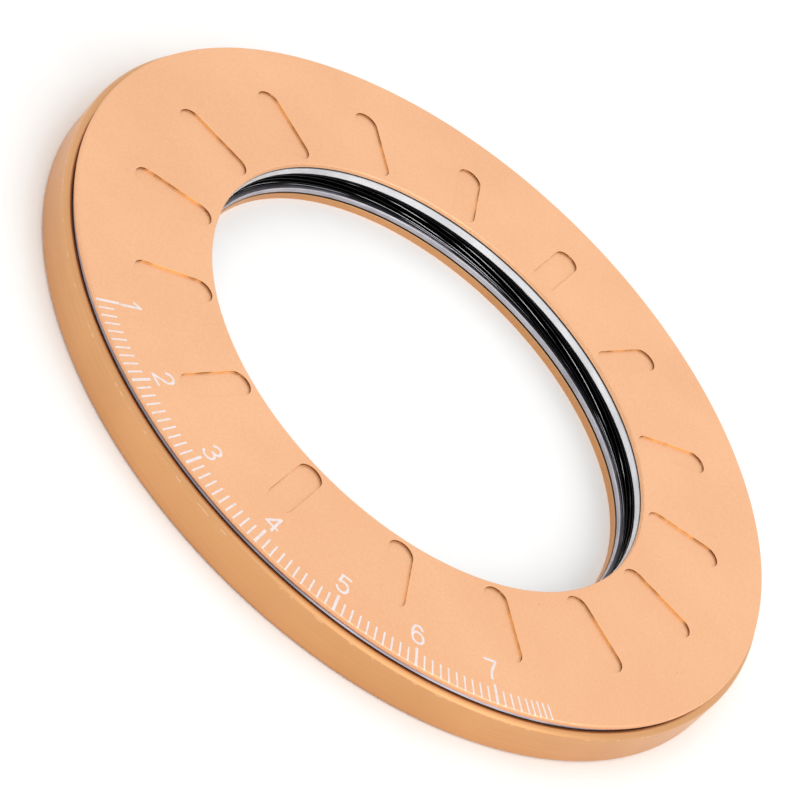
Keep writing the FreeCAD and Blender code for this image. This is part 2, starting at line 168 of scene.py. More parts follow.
def settle(piece: bpy.types.Object) -> None:
    """Turn a piece's modifiers into a plain mesh, and remove them.

    Args:
        piece: Object whose modifiers are all to be applied.
    """
    graph = bpy.context.evaluated_depsgraph_get()
    mesh = bpy.data.meshes.new_from_object(piece.evaluated_get(graph))
    piece.modifiers.clear()
    piece.data = mesh


def even_normals(piece: bpy.types.Object) -> None:
    """Point the faces outwards and weight the normals by face area.

    Flat faces then stay flat in the light, and only the small roundings turn it.

    Args:
        piece: Object with a closed mesh.
    """
    work = bmesh.new()
    work.from_mesh(piece.data)
    bmesh.ops.remove_doubles(work, verts=work.verts, dist=0.0001 * MM)
    bmesh.ops.recalc_face_normals(work, faces=work.faces)
    for face in work.faces:
        face.smooth = True
    work.to_mesh(piece.data)
    work.free()
    weighting = piece.modifiers.new("weighted", "WEIGHTED_NORMAL")
    weighting.mode = "FACE_AREA"
    weighting.weight = 100
    settle(piece)


def bridge(work: bmesh.types.BMesh, stack: list[list[tuple]]) -> list[list]:
    """Join a stack of closed loops with quads.

    Args:
        work: Mesh that the quads go into.
        stack: Loops with equal numbers of points.

    Returns:
        The new vertices of each loop.
    """
    loops = [[work.verts.new(point) for point in loop] for loop in stack]
    for upper, lower in zip(loops, loops[1:]):
        count = len(upper)
        for number in range(count):
            following = (number + 1) % count
            work.faces.new((upper[number], upper[following], lower[following], lower[number]))
    return loops


def run_geometry_nodes(piece: bpy.types.Object, name: str, wire: Callable,
                       values: dict[str, object]) -> None:
    """Put a piece through a Geometry Nodes tree with named inputs, and keep a plain mesh.

    Args:
        piece: Object whose mesh goes in and is replaced.
        name: Name of the tree.
        wire: Method that adds the tree's nodes and gives back the last one.
        values: Input name against its value, with the material under "Finish".
    """
    tree = bpy.data.node_groups.new(name, "GeometryNodeTree")
    face = tree.interface
    face.new_socket("Geometry", in_out="INPUT", socket_type="NodeSocketGeometry")
    sockets = {label: face.new_socket(label, in_out="INPUT", socket_type=SOCKETS[type(value)])
               for label, value in values.items()}
    face.new_socket("Geometry", in_out="OUTPUT", socket_type="NodeSocketGeometry")
    given = tree.nodes.new("NodeGroupInput").outputs
    dressed = add_node(tree, "GeometryNodeSetMaterial",
                       {"Geometry": wire(tree, given), "Material": given["Finish"]})
    add_node(tree, "NodeGroupOutput", (dressed,))
    modifier = piece.modifiers.new(name, "NODES")
    modifier.node_group = tree
    for label, value in values.items():
        modifier[sockets[label].identifier] = value
    settle(piece)


@dataclass(frozen=True)
class Extent:
    """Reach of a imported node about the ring's axis, in metres."""

    inner: float
    outer: float
    low: float
    high: float

    @classmethod
    def of(cls, node: str) -> "Extent":
        """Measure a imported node.

        Args:
            node: Name of the node.

        Returns:
            Its least and greatest radius and height.
        """
        corners = [vertex.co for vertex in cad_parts[node].data.vertices]
        radii = [math.hypot(corner.x, corner.y) for corner in corners]
        low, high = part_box(node)
        return cls(min(radii), max(radii), low.z, high.z)


# --- finishes


def round_coordinates(tree: bpy.types.NodeTree) -> dict[str, bpy.types.NodeSocket]:
    """Give an object's position as radius, angle and height about the ring's axis.

    Args:
        tree: Material tree to work in.

    Returns:
        Output sockets named point, radius, angle and height.
    """
    place = add_node(tree, "ShaderNodeTexCoord").outputs["Object"]
    x, y, height = add_node(tree, "ShaderNodeSeparateXYZ", (place,)).outputs
    squares = [add_node(tree, MATH, (side, side), operation="MULTIPLY") for side in (x, y)]
    total = add_node(tree, MATH, squares, operation="ADD")
    radius = add_node(tree, MATH, (total,), operation="SQRT").outputs[0]
    angle = add_node(tree, MATH, (y, x), operation="ARCTAN2").outputs[0]
    return {"point": place, "radius": radius, "angle": angle, "height": height}


def grain_field(tree: bpy.types.NodeTree, grain: Grain, size: float,
                where: dict[str, bpy.types.NodeSocket]) -> bpy.types.Node:
    """Fine surface relief left by the last operation.

    Args:
        tree: Material tree to work in.
        grain: How the surface was made.
        size: Distance between pits or lathe lines, in metres.
        where: Sockets from round_coordinates.

    Returns:
        The node whose factor is the relief, from nought to one.
    """
    vector, detail = where["point"], 2.0
    if grain is Grain.TURNED:
        along = add_node(tree, MATH, (where["angle"], 2.0 * size), operation="MULTIPLY")
        vector = add_node(tree, "ShaderNodeCombineXYZ", (along, where["radius"], where["height"]))
        detail = 3.0
    return add_node(tree, NOISE, {"Vector": vector, "Scale": 1 / size, "Detail": detail,
                                  "Roughness": NOISE_ROUGHNESS})


def add_surface(tree: bpy.types.NodeTree, relief: bpy.types.Node, strength: float,
                depth: float, inputs: dict[str, object]) -> None:
    """End a material with its bumped surface shader.

    Args:
        tree: Material tree to work in.
        relief: Node whose first output is the relief, from nought to one.
        strength: How far the relief turns the normal.
        depth: Depth of the relief in metres.
        inputs: The surface shader's own inputs by name.
    """
    bump = add_node(tree, "ShaderNodeBump",
                    {"Strength": strength, "Distance": depth, "Height": relief})
    shader = add_node(tree, "ShaderNodeBsdfPrincipled", {**inputs, "Normal": bump})
    add_node(tree, "ShaderNodeOutputMaterial", {"Surface": shader})


@dataclass(frozen=True)
class EdgeLine:
    """A thin line round the ring at one height: broken dashes of wear, or an unbroken line of
    painted shade.
    """

    height: float
    width: float
    dash: float
    share: float
    colour: str

    def over(self, tree: bpy.types.NodeTree, where: dict[str, bpy.types.NodeSocket],
             colour: bpy.types.Node) -> bpy.types.Node:
        """Lay the line over a colour.

        Args:
            tree: Material tree to work in.
            where: Sockets from round_coordinates.
            colour: Colour of the rest of the surface.

        Returns:
            The node that gives the new colour.
        """
        dashes = add_node(tree, NOISE, {"Vector": where["point"], "Scale": 1 / self.dash,
                                        "Detail": 1.5, "Roughness": NOISE_ROUGHNESS})
        dash_mask = add_node(tree, RANGE, (dashes, self.share, self.share + 0.08, 0.0, 1.0))
        offset = add_node(tree, MATH, (where["height"], self.height), operation="SUBTRACT")
        distance = add_node(tree, MATH, (offset,), operation="ABSOLUTE")
        near = add_node(tree, RANGE, (distance, 0.0, self.width, 1.0, 0.0),
                        interpolation_type="SMOOTHSTEP")
        mask = add_node(tree, MATH, (near, dash_mask), operation="MULTIPLY")
        return add_node(tree, MIX, {0: mask, 6: colour, 7: linear(self.colour)},
                        data_type="RGBA")


@dataclass(frozen=True)
class RecessPaintedLight:
    """Painted shade on the walls of recesses, darkest at their round ends, with painted gold glints
    on their straight sides.
    """

    low: float
    high: float
    inner: float
    outer: float
    end_length: float
    end_shade_colour: str
    side_glint_colour: str
    patch_size: float = 5 * MM
    margin: float = 0.3 * MM

    def over(self, tree: bpy.types.NodeTree, where: dict[str, bpy.types.NodeSocket],
             colour: bpy.types.Node) -> bpy.types.Node:
        """Lay the painted shade and glints over a colour.

        Args:
            tree: Material tree to work in.
            where: Sockets from round_coordinates.
            colour: Colour of the rest of the surface.

        Returns:
            The node that gives the new colour.
        """
        middle, half = (self.inner + self.outer) / 2, (self.outer - self.inner) / 2
        offset = add_node(tree, MATH, (where["radius"], middle), operation="SUBTRACT")
        off_middle = add_node(tree, MATH, (offset,), operation="ABSOLUTE")
        at_end = add_node(tree, RANGE, (off_middle, half - self.end_length,
                                        half - 0.6 * self.end_length, 0.0, 1.0))
        cloud = add_node(tree, NOISE, {"Vector": where["point"], "Scale": 1 / self.patch_size,
                                       "Detail": 2.0, "Roughness": NOISE_ROUGHNESS})
        patches = add_node(tree, RANGE, (cloud, 0.42, 0.58, 0.0, 0.7))
        dark = add_node(tree, MATH, (at_end, patches), operation="MAXIMUM")
        # Painted shade at the round ends and in patches, painted gold glints along the straight
        # sides.
        dye = add_node(tree, MIX, {0: dark, 6: linear(self.side_glint_colour),
                                   7: linear(self.end_shade_colour)}, data_type="RGBA")
        in_reach = add_node(tree, MATH, (off_middle, half + self.margin), operation="LESS_THAN")
        above = add_node(tree, MATH, (where["height"], self.low), operation="GREATER_THAN")
        below = add_node(tree, MATH, (where["height"], self.high), operation="LESS_THAN")
        level = add_node(tree, MATH, (above, below), operation="MULTIPLY")
        on_wall = add_node(tree, MATH, (in_reach, level), operation="MULTIPLY")
        return add_node(tree, MIX, {0: on_wall, 6: colour, 7: dye}, data_type="RGBA")


@dataclass(frozen=True)
class AnodisedAluminium:
    """Dyed anodised aluminium: a metal's reflection in the dye's colour, slightly hazy.

    The dye takes a little unevenly, and small pits show as darker specks.
    """

    name: str
    colour: str
    deep_colour: str
    roughness: float
    grain: Grain
    grain_size: float
    relief: float
    speck_share: float
    wear_and_shade_line: EdgeLine
    recess_light: RecessPaintedLight | None = None
    cloud_size: float = 22 * MM
    speck_spacing: float = 7 * MM
    speck_radius: float = 0.16 * MM
    speck_colour: str = "#7A4A28"

    def material(self) -> bpy.types.Material:
        """Build the material."""
        material, tree = new_material(self.name)
        where = round_coordinates(tree)
        relief = grain_field(tree, self.grain, self.grain_size, where)
        cloud = add_node(tree, NOISE, {"Vector": where["point"], "Scale": 1 / self.cloud_size,
                                       "Detail": 2.0, "Roughness": NOISE_ROUGHNESS})
        depth = add_node(tree, MATH, (add_node(tree, RANGE, (relief, 0.3, 0.7, 0.0, 0.45)),
                                      add_node(tree, RANGE, (cloud, 0.35, 0.65, 0.0, 0.55))),
                         operation="ADD")
        colour = add_node(tree, MIX, {0: depth, 6: linear(self.colour),
                                      7: linear(self.deep_colour)}, data_type="RGBA")
        cells = add_node(tree, "ShaderNodeTexVoronoi",
                         {"Vector": where["point"], "Scale": 1 / self.speck_spacing})
        rim = self.speck_radius / self.speck_spacing
        pit = add_node(tree, RANGE,
                       (cells.outputs["Distance"], 0.6 * rim, rim, self.speck_share, 0.0))
        colour = add_node(tree, MIX, {0: pit, 6: colour, 7: linear(self.speck_colour)},
                          data_type="RGBA")
        # Painted shade and glints on recess walls, where given.
        if self.recess_light:
            colour = self.recess_light.over(tree, where, colour)
        colour = self.wear_and_shade_line.over(tree, where, colour)
        roughness = add_node(tree, RANGE, (relief, 0.3, 0.7, self.roughness - 0.04,
                                           self.roughness + 0.05))
        add_surface(tree, relief, 0.6, self.relief,
                    {"Base Color": colour, "Metallic": 1.0, "Roughness": roughness})
        return material


@dataclass(frozen=True)
class TurnedMetal:
    """Bare metal from the lathe: a bright reflection drawn out by lines round the axis."""

    name: str
    colour: str
    dull_colour: str
    roughness: float
    line_spacing: float
    relief: float
    wear_and_shade_line: EdgeLine | None = None
    streak_length: float = 9 * MM

    def material(self) -> bpy.types.Material:
        """Build the material."""
        material, tree = new_material(self.name)
        where = round_coordinates(tree)
        lines = grain_field(tree, Grain.TURNED, self.line_spacing, where)
        streaks = add_node(tree, NOISE, {"Vector": where["point"], "Scale": 1 / self.streak_length,
                                         "Detail": 3.0, "Roughness": NOISE_ROUGHNESS})
        dulling = add_node(tree, MATH, (add_node(tree, RANGE, (lines, 0.35, 0.65, 0.0, 0.5)),
                                        add_node(tree, RANGE, (streaks, 0.4, 0.65, 0.0, 0.5))),
                           operation="ADD")
        colour = add_node(tree, MIX, {0: dulling, 6: linear(self.colour),
                                      7: linear(self.dull_colour)}, data_type="RGBA")
        # A line of painted shade, where given.
        if self.wear_and_shade_line:
            colour = self.wear_and_shade_line.over(tree, where, colour)
        roughness = add_node(tree, RANGE,
                             (dulling, 0.0, 1.0, self.roughness, self.roughness + 0.15))
        add_surface(tree, lines, 0.5, self.relief,
                    {"Base Color": colour, "Metallic": 1.0, "Roughness": roughness})
        return material


@dataclass(frozen=True)
class RolledSheetSteel:
    """Thin rolled stainless sheet: grey satin faces, and dark cut edges with painted glints in
    places.
    """

    name: str
    face_colour: str
    streak_colour: str
    edge_glint_colour: str
    edge_dark_colour: str
    roughness: float
    line_spacing: float
    relief: float = 0.002 * MM
    glint_height: float = 0.8 * MM
    glint_length: float = 30 * MM

    def material(self) -> bpy.types.Material:
        """Build the material."""
        material, tree = new_material(self.name)
        where = round_coordinates(tree)
        lines = grain_field(tree, Grain.TURNED, self.line_spacing, where)
        streak = add_node(tree, RANGE, (lines, 0.35, 0.65, 0.0, 1.0))
        face = add_node(tree, MIX, {0: streak, 6: linear(self.face_colour),
                                    7: linear(self.streak_colour)}, data_type="RGBA")
        normal = add_node(tree, "ShaderNodeTexCoord").outputs["Normal"]
        upright = add_node(tree, "ShaderNodeSeparateXYZ", (normal,)).outputs[2]
        flat = add_node(tree, MATH, (upright,), operation="ABSOLUTE")
        cut = add_node(tree, RANGE, (flat, 0.4, 0.7, 1.0, 0.0))
        # Painted glints: bright stretches along the cut edges, dark between them.
        squeeze = add_node(tree, "ShaderNodeVectorMath",
                           (where["point"], (1 / self.glint_length, 1 / self.glint_length,
                                             1 / self.glint_height)), operation="MULTIPLY")
        glints = add_node(tree, NOISE, {"Vector": squeeze, "Scale": 1.0, "Detail": 2.0,
                                        "Roughness": NOISE_ROUGHNESS})
        glint = add_node(tree, RANGE, (glints, 0.54, 0.60, 0.0, 1.0))
        edge = add_node(tree, MIX, {0: glint, 6: linear(self.edge_dark_colour),
                                    7: linear(self.edge_glint_colour)}, data_type="RGBA")
        colour = add_node(tree, MIX, {0: cut, 6: face, 7: edge}, data_type="RGBA")
        roughness = add_node(tree, RANGE, (lines, 0.35, 0.65, self.roughness - 0.05,
                                           self.roughness + 0.08))
        add_surface(tree, lines, 0.3, self.relief,
                    {"Base Color": colour, "Metallic": 1.0, "Roughness": roughness})
        return material


@dataclass(frozen=True)
class MatteCoat:
    """A thin matte layer, such as printed ink, adhesive film or paper, a little uneven."""

    name: str
    colour: str
    thin_colour: str
    roughness: float
    blotch: float
    relief: float
    sheen: float = 0.5

    def material(self) -> bpy.types.Material:
        """Build the material."""
        material, tree = new_material(self.name)
        place = add_node(tree, "ShaderNodeTexCoord").outputs["Object"]
        blotches = add_node(tree, NOISE, {"Vector": place, "Scale": 1 / self.blotch,
                                          "Detail": 3.0, "Roughness": NOISE_ROUGHNESS})
        thin = add_node(tree, RANGE, (blotches, 0.45, 0.75, 0.0, 1.0))
        colour = add_node(tree, MIX, {0: thin, 6: linear(self.colour),
                                      7: linear(self.thin_colour)}, data_type="RGBA")
        roughness = add_node(tree, RANGE, (blotches, 0.3, 0.7, self.roughness - 0.05,
                                           self.roughness + 0.05))
        add_surface(tree, blotches, 0.4, self.relief,
                    {"Base Color": colour, "Roughness": roughness,
                     "Specular IOR Level": self.sheen})
        return material


# --- turned rings


@dataclass
class TurnedRing:
    """A ring turned from a closed outline of radius and height, with rounded corners."""

    name: str
    outline: Profile
    edge_round: float = 0.06 * MM
    round_steps: int = 4
    segments: int = 384

    def wire(self, tree: bpy.types.NodeTree,
             given: bpy.types.bpy_prop_collection) -> bpy.types.Node:
        """Add the nodes that round the outline's corners and turn it about the axis.

        Args:
            tree: Tree that the nodes go into.
            given: The tree's input sockets by name.

        Returns:
            The node that gives the ring.
        """
        segments = given["Segments"]
        curve = add_node(tree, "GeometryNodeMeshToCurve", {"Mesh": given["Geometry"]})
        rounded = add_node(tree, "GeometryNodeFilletCurve",
                           {"Curve": curve, "Radius": given["Edge Round"],
                            "Count": given["Round Steps"], "Limit Radius": True}, mode="POLY")
        corners = add_node(tree, "GeometryNodeAttributeDomainSize", (rounded,), component="CURVE")
        count = corners.outputs["Point Count"]
        rows = add_node(tree, MATH, (count, 1.0), operation="ADD")
        columns = add_node(tree, MATH, (segments, 1.0), operation="ADD")
        grid = add_node(tree, "GeometryNodeMeshGrid", {"Vertices X": columns, "Vertices Y": rows})
        index = add_node(tree, "GeometryNodeInputIndex")
        quotient = add_node(tree, MATH, (index, rows), operation="DIVIDE")
        column = add_node(tree, MATH, (quotient,), operation="FLOOR")
        before = add_node(tree, MATH, (column, rows), operation="MULTIPLY")
        row = add_node(tree, MATH, (index, before), operation="SUBTRACT")
        corner = add_node(tree, MATH, (row, count), operation="MODULO")
        turns = add_node(tree, MATH, (column, FULL_TURN), operation="MULTIPLY")
        turn = add_node(tree, MATH, (turns, segments), operation="DIVIDE")
        sampled = add_node(tree, "GeometryNodeSampleIndex",
                           {"Geometry": rounded, "Index": corner,
                            "Value": add_node(tree, "GeometryNodeInputPosition")},
                           data_type="FLOAT_VECTOR", domain="POINT")
        radius, _, height = add_node(tree, "ShaderNodeSeparateXYZ", (sampled,)).outputs
        cosine, sine = (add_node(tree, MATH, (turn,), operation=wave)
                        for wave in ("COSINE", "SINE"))
        place = add_node(tree, "ShaderNodeCombineXYZ", (
            add_node(tree, MATH, (radius, cosine), operation="MULTIPLY"),
            add_node(tree, MATH, (radius, sine), operation="MULTIPLY"), height))
        moved = add_node(tree, "GeometryNodeSetPosition", {"Geometry": grid, "Position": place})
        closed = add_node(tree, "GeometryNodeMergeByDistance",
                          {"Geometry": moved, "Distance": 0.001 * MM})
        return add_node(tree, "GeometryNodeRealizeInstances", (closed,))

    def build(self, finish: bpy.types.Material) -> bpy.types.Object:
        """Turn the ring.

        Args:
            finish: Material of the whole ring.

        Returns:
            The finished object, with a plain closed mesh.
        """
        count = len(self.outline)
        mesh = bpy.data.meshes.new(self.name)
        corners = [(radius, 0.0, height) for radius, height in self.outline]
        mesh.from_pydata(corners, [(i, (i + 1) % count) for i in range(count)], [])
        piece = add_object(self.name, mesh)
        run_geometry_nodes(piece, "turn_outline", self.wire, {
            "Segments": self.segments, "Edge Round": self.edge_round,
            "Round Steps": self.round_steps, "Finish": finish})
        even_normals(piece)
        return piece


@dataclass
class Housing:
    """The lower shell: floor, ledge under the cam ring, grooved rim with a rounded top."""

    rim_flat: float = 0.15 * MM
    crown_drop: float = 0.7 * MM
    lower_round: float = 0.7 * MM
    round_steps: int = 6
    running_gap: float = 0.05 * MM
    groove_play: float = 0.02 * MM

    def outline(self) -> Profile:
        """Work out the outline from the pieces that sit in the housing.

        Returns:
            Corners as radius and height, in metres.
        """
        shell, film, seat = Extent.of("housing"), Extent.of("base_film"), Extent.of("pivot_ring")
        cam, clip = Extent.of("cam_ring"), Extent.of("retaining_ring")
        bore = cam.outer + self.running_gap
        ledge = cam.low - self.running_gap
        wall = seat.outer + self.running_gap
        groove = clip.outer + self.running_gap
        sweep = [math.pi / 2 * step / self.round_steps for step in range(self.round_steps + 1)]
        crown_centre = bore + self.rim_flat
        crown = [(crown_centre + (shell.outer - crown_centre) * math.cos(angle),
                  shell.high - self.crown_drop * (1 - math.sin(angle))) for angle in sweep]
        centre = shell.outer - self.lower_round
        lower_edge = [(centre + self.lower_round * math.sin(angle),
                       shell.low + self.lower_round * (1 - math.cos(angle))) for angle in sweep]
        return [
            (shell.inner, shell.low),
            *lower_edge,
            *crown,
            (bore, shell.high),
            (bore, clip.high + self.groove_play),
            (groove, clip.high + self.groove_play),
            (groove, clip.low - self.groove_play),
            (bore, clip.low - self.groove_play),
            (bore, ledge),
            (wall, ledge),
            (wall, film.low),
            (shell.inner, film.low),
        ]

    def build(self) -> bpy.types.Object:
        """Make the housing and dress it.

        Returns:
            The finished object.
        """
        shell = Extent.of("housing")
        crown_foot = EdgeLine(height=shell.high - self.crown_drop, width=0.1 * MM,
                              dash=1.3 * MM, share=0.56, colour="#ECC8A8")
        # Fine turning gives a soft sheen that runs round the wall. Its lines are usually
        # a few hundredths of a millimetre apart, and are drawn coarser so that they show.
        finish = AnodisedAluminium(
            name="anodised_aluminium_turned", colour="#DFA876", deep_colour="#D19B69",
            roughness=0.36, grain=Grain.TURNED, grain_size=0.12 * MM, relief=0.004 * MM,
            speck_share=0.25, wear_and_shade_line=crown_foot)
        ring = TurnedRing("housing_shell", self.outline())
        piece = ring.build(finish.material())
        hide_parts("housing")
        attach(piece, "base")
        return piece


@dataclass
class RetainingRing:
    """The split spring ring that holds the cam ring down, with a raised bead at its bore."""

    bead_rise: float = 0.33 * MM
    bead_foot: float = 0.72 * MM
    bead_top: float = 0.51 * MM
    bead_inner: float = 0.12 * MM
    edge_round: float = 0.04 * MM
    segments: int = 360

    def section(self, ring: Extent) -> Profile:
        """Outline of the ring's section.

        Args:
            ring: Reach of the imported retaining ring.

        Returns:
            Corners as radius and height, in metres.
        """
        crest = ring.high + self.bead_rise
        turn = self.edge_round
        return [
            (ring.inner, ring.low),
            (ring.outer, ring.low),
            (ring.outer, ring.high),
            (ring.inner + self.bead_foot, ring.high),
            (ring.inner + self.bead_foot - 0.1 * (self.bead_foot - self.bead_top),
             ring.high + 0.1 * (self.bead_rise - turn)),
            (ring.inner + self.bead_top, crest - turn),
            (ring.inner + self.bead_top - turn, crest),
            (ring.inner + self.bead_inner + turn, crest),
            (ring.inner + self.bead_inner, crest - turn),
            (ring.inner, ring.high),
        ]

    def span(self) -> tuple[float, float]:
        """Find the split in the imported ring.

        Returns:
            The azimuth where the ring starts and the angle that it covers.
        """
        corners = [vertex.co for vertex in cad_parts["retaining_ring"].data.vertices]
        angles = sorted(math.atan2(corner.y, corner.x) for corner in corners)
        following = angles[1:] + [angles[0] + FULL_TURN]
        gap, start = max((after - before, after) for before, after in zip(angles, following))
        return start, FULL_TURN - gap

    def build(self) -> bpy.types.Object:
        """Make the ring and dress it.

        Returns:
            The finished object.
        """
        section = self.section(Extent.of("retaining_ring"))
        start, sweep = self.span()
        angles = [start + sweep * step / self.segments for step in range(self.segments + 1)]
        work = bmesh.new()
        loops = bridge(work, [[(*polar(radius, angle), height) for radius, height in section]
                              for angle in angles])
        work.faces.new(loops[0])
        work.faces.new(loops[-1])
        mesh = bpy.data.meshes.new("retaining_ring_wire")
        work.to_mesh(mesh)
        work.free()
        piece = add_object("retaining_ring_wire", mesh)
        even_normals(piece)
        # Drawn wire is almost a mirror, with fine lines along it.
        finish = TurnedMetal(name="spring_steel_drawn", colour="#A8A1A9", dull_colour="#7A747A",
                             roughness=0.16, line_spacing=0.05 * MM, relief=0.001 * MM)
        piece.data.materials.append(finish.material())
        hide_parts("retaining_ring")
        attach(piece, "base")
        return piece


# --- cover plate


@dataclass
class CoverPlate:
    """The flat ring on top, with a shallow round-ended recess over each cam slot."""

    recess_width: float = 4.2 * MM
    recess_inner: float = 40.4 * MM
    recess_outer: float = 53.7 * MM
    recess_depth: float = 0.3 * MM
    recess_count: int = 16
    edge_round: float = 0.25 * MM
    lower_round: float = 0.1 * MM
    lip_round: float = 0.06 * MM
    floor_clear: float = 0.02 * MM
    top_clear: float = 0.012 * MM
    round_steps: int = 4
    segments: int = 384
    tip_steps: int = 16

    def stadium(self, offset: float, azimuth: float) -> list[tuple[float, float]]:
        """Outline of a recess, grown by an offset.

        Args:
            offset: How far outside the recess's wall the outline runs.
            azimuth: Direction of the recess's middle line.

        Returns:
            Points counter-clockwise.
        """
        half = self.recess_width / 2
        tips = ((self.recess_outer - half, -math.pi / 2), (self.recess_inner + half, math.pi / 2))
        points = []
        for centre, start in tips:
            for step in range(self.tip_steps + 1):
                angle = start + math.pi * step / self.tip_steps
                along = centre + (half + offset) * math.cos(angle)
                across = (half + offset) * math.sin(angle)
                points.append((along * math.cos(azimuth) - across * math.sin(azimuth),
                               along * math.sin(azimuth) + across * math.cos(azimuth)))
        return points

    def circle(self, radius: float) -> list[tuple[float, float]]:
        """Points of a circle about the axis, counter-clockwise."""
        angles = [FULL_TURN * step / self.segments for step in range(self.segments)]
        return [polar(radius, angle) for angle in angles]

    def quarter(self) -> list[tuple[float, float]]:
        """Sine and cosine at even steps over a quarter turn."""
        angles = [math.pi / 2 * step / self.round_steps for step in range(self.round_steps + 1)]
        return [(math.sin(angle), math.cos(angle)) for angle in angles]

    def side_loops(self, plate: Extent) -> list[tuple[float, float]]:
        """Radius and height of every circle from the top's outer edge round to its inner one.

        Args:
            plate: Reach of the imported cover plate.

        Returns:
            Radii and heights, in order.
        """
        top, foot = self.edge_round, self.lower_round
        outer = [(plate.outer - top + top * sine, plate.high - top + top * cosine)
                 for sine, cosine in self.quarter()]
        outer += [(plate.outer - foot + foot * cosine, plate.low + foot - foot * sine)
                  for sine, cosine in self.quarter()]
        inner = [(plate.inner + foot - foot * sine, plate.low + foot - foot * cosine)
                 for sine, cosine in self.quarter()]
        inner += [(plate.inner + top - top * cosine, plate.high - top + top * sine)
                  for sine, cosine in self.quarter()]
        return outer + inner

    def recess_loops(self, plate: Extent) -> list[tuple[float, float]]:
        """Offset and height of every outline down a recess's wall.

        Args:
            plate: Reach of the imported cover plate.

        Returns:
            Offsets and heights, from the lip to the floor.
        """
        lip = self.lip_round
        floor = plate.high - self.recess_depth
        down = [(lip - lip * sine, plate.high - lip + lip * cosine)
                for sine, cosine in self.quarter()]
        down += [(lip * cosine - lip, floor + lip - lip * sine)
                 for sine, cosine in self.quarter()]
        return down

    def face_triangles(self, loops: list[list[tuple[float, float]]]) -> tuple[list, list]:
        """Triangles of the top face between its two circles and round its recesses.

        Args:
            loops: The outer circle, the inner circle and the recess outlines.

        Returns:
            Points, and triples of point numbers.
        """
        points, faces = [], []
        for loop in loops:
            faces.append(list(range(len(points), len(points) + len(loop))))
            points += [Vector((x / MM, y / MM)) for x, y in loop]
        made = delaunay_2d_cdt(points, [], faces, 1, 1e-7)
        kept = [face for face, source in zip(made[2], made[5]) if list(source) == [0]]
        return [(point.x * MM, point.y * MM) for point in made[0]], kept

    def build(self) -> bpy.types.Object:
        """Make the plate and dress it.

        Returns:
            The finished object.
        """
        plate = Extent.of("cover_plate")
        sides, walls = self.side_loops(plate), self.recess_loops(plate)
        azimuths = [FULL_TURN * number / self.recess_count for number in range(self.recess_count)]
        lips = [self.stadium(walls[0][0], azimuth) for azimuth in azimuths]
        rims = [self.circle(sides[0][0]), self.circle(sides[-1][0])]
        points, triangles = self.face_triangles(rims + lips)
        work = bmesh.new()
        top = [work.verts.new((x, y, plate.high)) for x, y in points]
        for triangle in triangles:
            work.faces.new([top[number] for number in triangle])
        for azimuth in azimuths:
            stack = [[(x, y, height) for x, y in self.stadium(offset, azimuth)]
                     for offset, height in walls]
            work.faces.new(bridge(work, stack)[-1])
        bridge(work, [[(x, y, height) for x, y in self.circle(radius)]
                      for radius, height in sides])
        mesh = bpy.data.meshes.new("cover_plate_disc")
        work.to_mesh(mesh)
        work.free()
        piece = add_object("cover_plate_disc", mesh)
        even_normals(piece)
        # Bead blasting gives an even satin face without streaks. Its pits are usually
        # under 0.1 mm wide, and are drawn coarser so that they show.
        # The recess walls get painted shade, darkest at their round ends, and painted gold glints on
        # their straight sides.
        finish = AnodisedAluminium(
            name="anodised_aluminium_blasted", colour="#F3C097", deep_colour="#ECB68B",
            roughness=0.5, grain=Grain.BLASTED, grain_size=0.3 * MM, relief=0.006 * MM,
            speck_share=0.35,
            wear_and_shade_line=EdgeLine(height=plate.high - 0.12 * MM, width=0.08 * MM, dash=1.6 * MM,
                          share=0.58, colour="#F7CFA0"),
            recess_light=RecessPaintedLight(low=plate.high - self.recess_depth + self.floor_clear,
                             high=plate.high - self.top_clear, inner=self.recess_inner,
                             outer=self.recess_outer, end_length=self.recess_width / 2,
                             end_shade_colour="#8A5A2C", side_glint_colour="#F2C27C"))
        piece.data.materials.append(finish.material())
        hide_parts("cover_plate")
        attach(piece, "rotor")
        return piece


# --- printed scale


def arc(centre: tuple[float, float], radii: tuple[float, float], start: float, end: float,
        steps: int = 14) -> list[tuple[float, float]]:
    """Points on part of an ellipse.

    Args:
        centre: Its middle.
        radii: Its half width and half height.
        start: First angle, in degrees.
        end: Last angle, in degrees.
        steps: Number of chords.

    Returns:
        The points in order.
    """
    angles = [math.radians(start + (end - start) * step / steps) for step in range(steps + 1)]
    return [(centre[0] + radii[0] * math.cos(angle), centre[1] + radii[1] * math.sin(angle))
            for angle in angles]


def numeral_strokes() -> dict[int, list[tuple[float, float]]]:
    """Pen paths of plain numerals, one unit high and about 0.6 wide.

    Returns:
        The path of each numeral from 1 to 7.
    """
    return {
        1: [(0.10, 0.74), (0.34, 1.0), (0.34, 0.0)],
        2: arc((0.30, 0.71), (0.27, 0.29), 168, -38) + [(0.02, 0.0), (0.60, 0.0)],
        3: (arc((0.29, 0.755), (0.25, 0.245), 158, -90)
            + arc((0.29, 0.255), (0.28, 0.255), 90, -160)[1:]),
        4: [(0.45, 0.0), (0.45, 1.0), (0.0, 0.29), (0.62, 0.29)],
        5: [(0.54, 1.0), (0.13, 1.0), (0.07, 0.54)] + arc((0.29, 0.32), (0.28, 0.32), 132, -152),
        6: arc((0.31, 0.52), (0.28, 0.48), 42, 180) + arc((0.31, 0.31), (0.28, 0.31), 180, 540, 28),
        7: [(0.02, 1.0), (0.58, 1.0)] + arc((0.86, 0.0), (0.62, 0.93), 138, 180, 8),
    }


